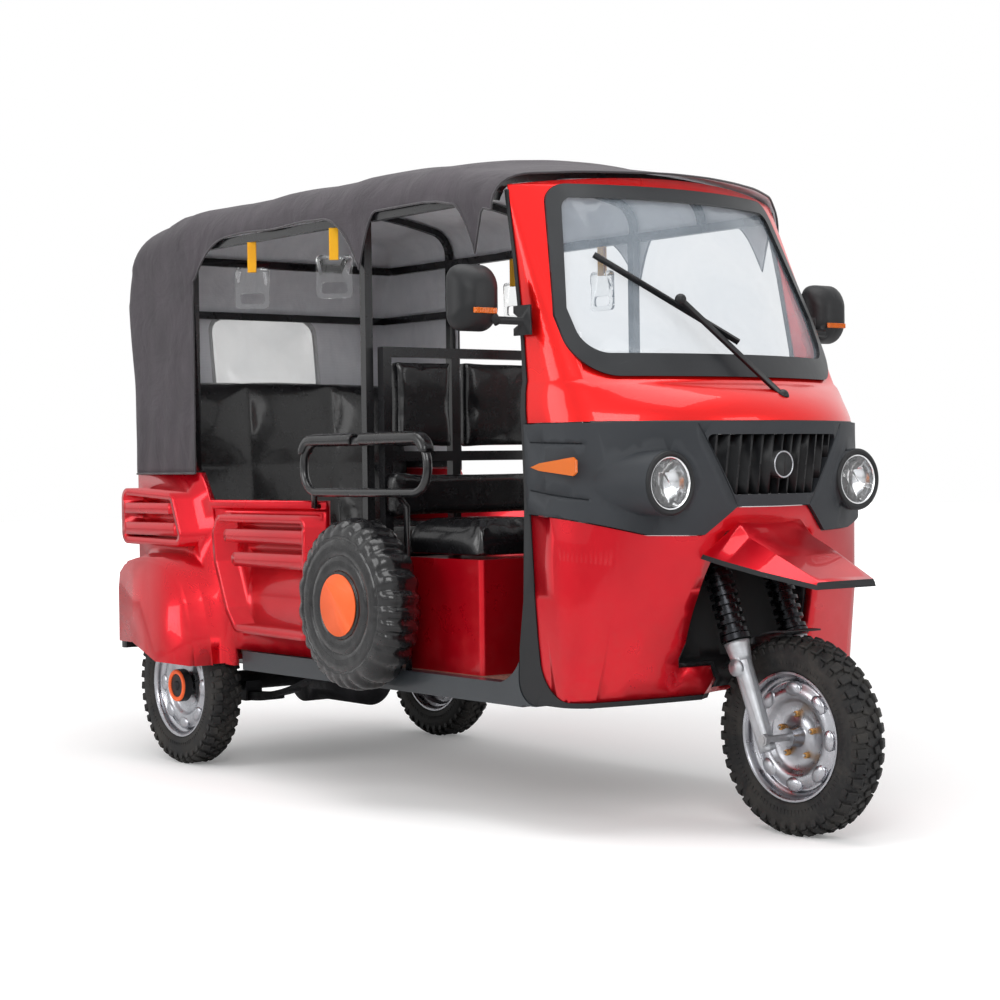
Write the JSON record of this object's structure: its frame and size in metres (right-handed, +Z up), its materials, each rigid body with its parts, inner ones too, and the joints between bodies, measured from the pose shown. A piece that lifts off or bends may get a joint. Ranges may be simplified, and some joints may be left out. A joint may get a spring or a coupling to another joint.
{
  "type": "electric auto rickshaw",
  "caption": "Three-wheeled passenger rickshaw with a raked front fork, open-sided cab, cloth canopy, bench seats and a covered spare wheel.",
  "frame": {"origin": "on the ground, below the middle of the whole length and width", "axes": "+X is forward, +Y is to the driver's left, +Z is up"},
  "size_m": [2.8949, 1.4078, 1.8177],
  "materials": {
    "red_paint_upper": "gloss",
    "red_paint_lower": "gloss",
    "dark_fascia": "satin",
    "black_plastic": "matte",
    "black_rubber": "matte",
    "black_tube": "gloss",
    "grey_steel": "satin",
    "bare_steel": "satin",
    "chrome": "polished",
    "cast_alloy": "satin",
    "tyre": "matte",
    "glass": "polished",
    "lamp_glass": "polished",
    "lamp_chrome": "polished",
    "mirror": "polished",
    "amber_lens": "gloss",
    "red_lens": "gloss",
    "canopy_cloth": "coated woven cloth",
    "clear_film": "hazy film",
    "black_leatherette": "gloss",
    "webbing": "woven",
    "clear_acrylic": "polished",
    "floor_mat": "textured",
    "orange_plastic": "satin",
    "engine_black": "matte"
  },
  "bodies": {
    "body": {"chassis_frame": "black_tube", "floor_pan": "floor_mat", "side_sills": "grey_steel", "rear_body_right": "red_paint_lower", "rear_body_left": "red_paint_lower", "tail_panel": "red_paint_lower", "tail_lamps": "red_lens", "rear_bumper": "black_tube", "cab_upper": "red_paint_upper", "windscreen_gasket": "black_rubber", "windscreen": "glass", "wheel_well": "black_plastic", "cab_lower": "red_paint_lower", "nose_fascia": "dark_fascia", "grille": "black_plastic", "headlamps": "lamp_chrome", "headlamp_lenses": "lamp_glass", "side_indicators": "amber_lens", "cab_edge_trim": "black_rubber", "front_beak": "red_paint_lower", "dashboard": "black_plastic", "wiper": "black_plastic", "mirrors": "black_plastic", "mirror_glass": "mirror", "canopy": "canopy_cloth", "rear_window": "clear_film", "canopy_frame": "black_tube", "guard_loops": "black_tube", "armrest_pads": "black_leatherette", "grab_handles": "clear_acrylic", "handle_straps": "webbing", "rear_seat_box": "grey_steel", "rear_seat_cushion": "black_leatherette", "rear_seat_back": "black_leatherette", "partition_frame": "black_tube", "partition_pads": "black_leatherette", "driver_seat_box": "red_paint_lower", "battery_block": "engine_black", "driver_seat_cushion": "black_leatherette", "spare_wheel": "black_leatherette", "spare_disc": "orange_plastic", "spare_carrier": "black_tube", "rear_axle": "engine_black", "leaf_springs": "engine_black"},
    "steering": {"fork_legs": "cast_alloy", "front_axle": "bare_steel", "fork_springs": "engine_black", "handlebar": "black_tube", "front_mudguard": "black_plastic"},
    "front_wheel": {"front_tyre": "tyre", "front_rim": "chrome"},
    "rear_wheel_right": {"rear_right_tyre": "tyre", "rear_right_rim": "chrome"},
    "rear_wheel_left": {"rear_left_tyre": "tyre", "rear_left_rim": "chrome"}
  },
  "joints": [
    {"name": "steering_turn", "type": "hinge", "parent": "body", "child": "steering", "pos_m": [1.17419, 0, 0.24096], "axis": [-0.3616, 0, 0.9323], "range_deg": [-38, 38]},
    {"name": "front_wheel_spin", "type": "hinge", "parent": "steering", "child": "front_wheel", "pos_m": [1.1975, 0, 0.25], "axis": [0, 1, 0], "continuous": true},
    {"name": "rear_wheel_right_spin", "type": "hinge", "parent": "body", "child": "rear_wheel_right", "pos_m": [-1.0175, -0.5, 0.25], "axis": [0, 1, 0], "continuous": true},
    {"name": "rear_wheel_left_spin", "type": "hinge", "parent": "body", "child": "rear_wheel_left", "pos_m": [-1.0175, 0.5, 0.25], "axis": [0, 1, 0], "continuous": true}
  ]
}
